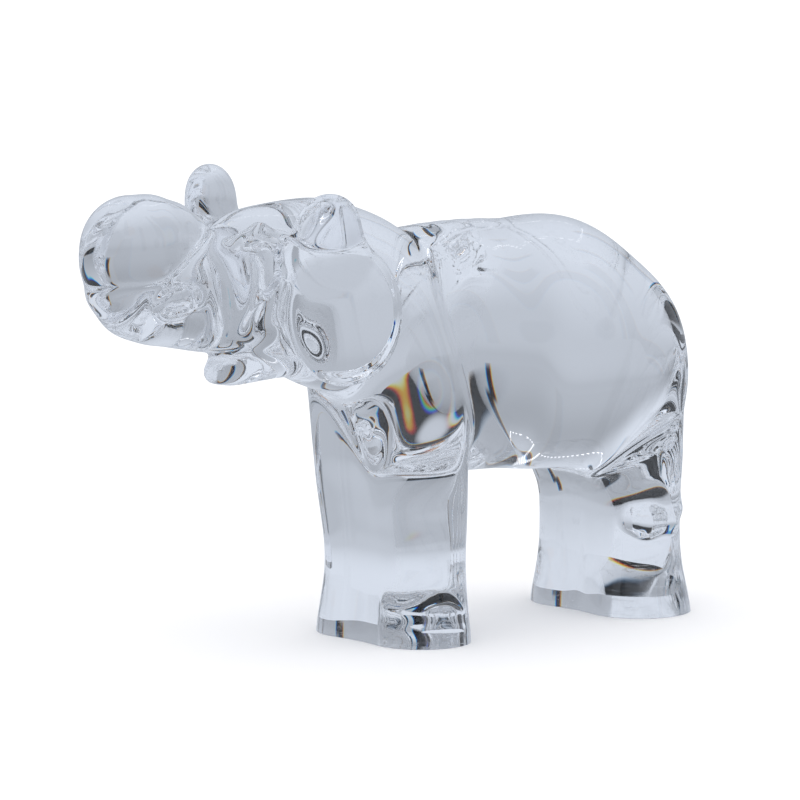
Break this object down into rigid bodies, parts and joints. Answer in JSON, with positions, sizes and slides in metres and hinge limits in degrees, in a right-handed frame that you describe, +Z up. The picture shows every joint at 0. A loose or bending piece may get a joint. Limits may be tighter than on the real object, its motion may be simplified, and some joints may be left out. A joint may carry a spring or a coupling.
{
  "type": "crystal elephant figurine",
  "caption": "Solid clear crystal elephant standing on ground soles, with its trunk raised and curled back to its brow.",
  "frame": {"origin": "middle of the figurine's bounding box, on the plane of its four ground soles", "axes": "+Z up from the soles, +Y from the trunk towards the tail, +X towards the elephant's left side"},
  "size_m": [0.0642, 0.2062, 0.1313],
  "materials": {
    "crystal": "fire-polished clear lead crystal",
    "crystal_legs": "clear lead crystal, soles ground and polished",
    "crystal_bits": "clear lead crystal, applied hot and fire polished"
  },
  "bodies": {
    "root": {"body": "crystal", "head": "crystal", "trunk": "crystal", "lower_jaw": "crystal_bits", "left_ear": "crystal_bits", "right_ear": "crystal_bits", "front_left_leg": "crystal_legs", "front_right_leg": "crystal_legs", "rear_left_leg": "crystal_legs", "rear_right_leg": "crystal_legs", "tail": "crystal_bits"}
  },
  "joints": []
}
